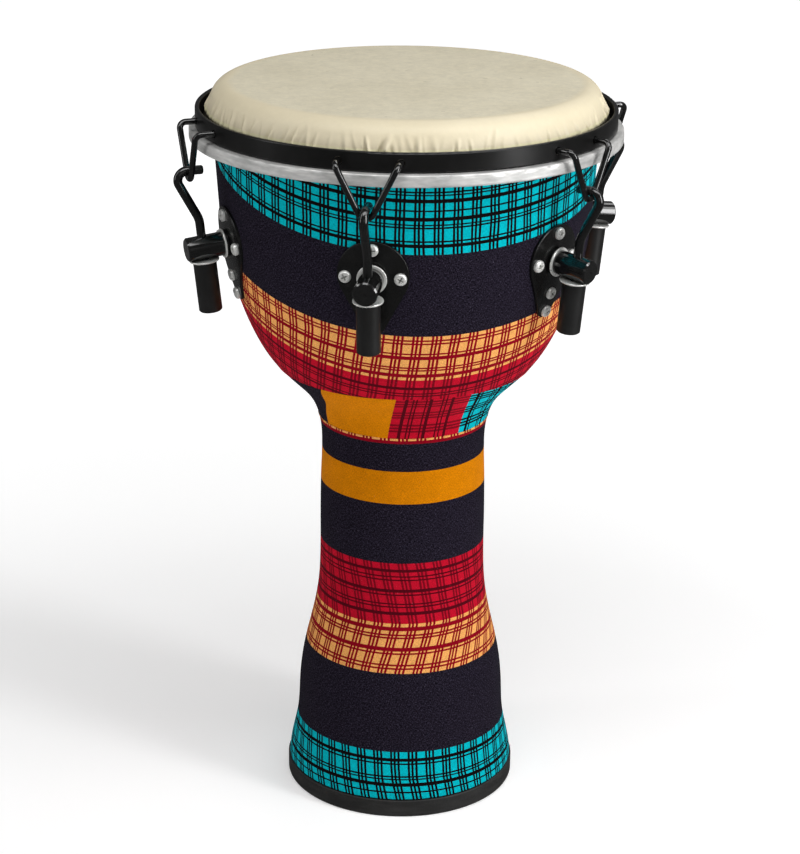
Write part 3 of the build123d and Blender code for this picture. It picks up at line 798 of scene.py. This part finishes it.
def painted(name, colour, roughness, grain, depth, shine, coat=0.0):
    """Black paint or powder coat, with fine texture and rubbed patches.

    grain is the texture's scale, depth its relief in metres, and shine the specular level.
    """
    shade = Shade(name)
    place = shade.place()
    fine = shade.noise(place, grain, 3.0, 0.6)
    patch = shade.noise(place, 70, 3.0)
    rubbed = tuple(1.4 * part + 0.0015 for part in colour)
    shade.set("Base Color", shade.mix(shade.span(patch, 0.45, 0.75), colour, rubbed))
    shade.set("Roughness", shade.spread(fine, roughness - 0.02, roughness + 0.03))
    shade.set("Specular IOR Level", shine)
    shade.set("Coat Weight", coat)
    shade.set("Coat Roughness", 0.06)
    shade.set("Normal", shade.bump(fine, depth))
    return shade.material


def zinc_material():
    """Bright zinc plate, a little cloudy, with painted shade darkening its recesses."""
    shade = Shade("zinc_plate")
    place = shade.place()
    cloud = shade.noise(place, 420, 3.0, 0.6)
    hollow = shade.node("ShaderNodeNewGeometry").outputs["Pointiness"]
    dull, bright, recess_shade = (0.88, 0.88, 0.85), (1.0, 1.0, 0.97), (0.05, 0.05, 0.045)
    plate = shade.mix(shade.span(cloud, 0.35, 0.7), dull, bright)
    # Painted shade: where the surface is hollow, as in the screws' cross recesses, the colour goes
    # dark.
    shade.set("Base Color", shade.mix(shade.span(hollow, 0.47, 0.41), plate, recess_shade))
    shade.set("Metallic", 0.6)
    shade.set("Roughness", shade.spread(cloud, 0.38, 0.26))
    shade.set("Normal", shade.bump(shade.noise(place, 900), 0.000008))
    return shade.material


def rubber_material():
    """Matte moulded rubber with fine dust and scuffs."""
    shade = Shade("foot_rubber")
    place = shade.place()
    fine = shade.noise(place, 900, 3.0, 0.6)
    scuff = shade.noise(shade.scaled(place, 1, 1, 4), 45, 4.0, 0.65)
    clean, scuffed = (0.0120, 0.0118, 0.0115), (0.0260, 0.0250, 0.0240)
    shade.set("Base Color", shade.mix(shade.span(scuff, 0.42, 0.72), clean, scuffed))
    shade.set("Roughness", shade.spread(fine, 0.55, 0.72))
    shade.set("Normal", shade.bump(fine, 0.00007))
    return shade.material


def shell_material():
    """Black moulded plastic with the fine pebbling of a rotational moulding."""
    shade = Shade("shell_plastic")
    pebble = shade.noise(shade.place(), 340, 3.0, 0.55)
    shade.set("Base Color", shade.mix(pebble, (0.030, 0.030, 0.032), (0.050, 0.050, 0.053)))
    shade.set("Roughness", shade.spread(pebble, 0.50, 0.68))
    shade.set("Normal", shade.bump(pebble, 0.0003))
    return shade.material


def paint_nodes():
    """Finishes for the CAD nodes that stay. Those not listed are zinc plated."""
    hoop = painted("hoop_paint", (0.0042, 0.0041, 0.0040), 0.30, 1500, 0.000006, 0.36)
    rod = painted("rod_paint", (0.0035, 0.0035, 0.0034), 0.15, 800, 0.000003, 0.40, coat=0.8)
    plate = painted("plate_paint", (0.0042, 0.0042, 0.0041), 0.24, 1300, 0.0000015, 0.5)
    nut = painted("nut_paint", (0.0070, 0.0069, 0.0068), 0.42, 1900, 0.00001, 0.5)
    zinc = zinc_material()
    finish = {
        "shell": shell_material(),
        "foot_ring": rubber_material(),
        "counterhoop": hoop,
        "post_collars": plate,
        "tension_hook": rod,
        "hoop_link": rod,
        "lug_post": rod,
        "lug_plate": plate,
        "tuning_nut": nut,
    }
    for name, piece in nodes.items():
        if piece.hide_render:  # replaced by a finer piece
            continue
        family = name.rsplit("_", 1)[0]  # lug_plate for lug_plate_3
        material = finish.get(name) or finish.get(family) or zinc
        for slot in range(len(piece.data.materials)):
            piece.data.materials[slot] = material


make_camera()
make_studio()
make_cloth()
make_head()
make_channel()
paint_nodes()
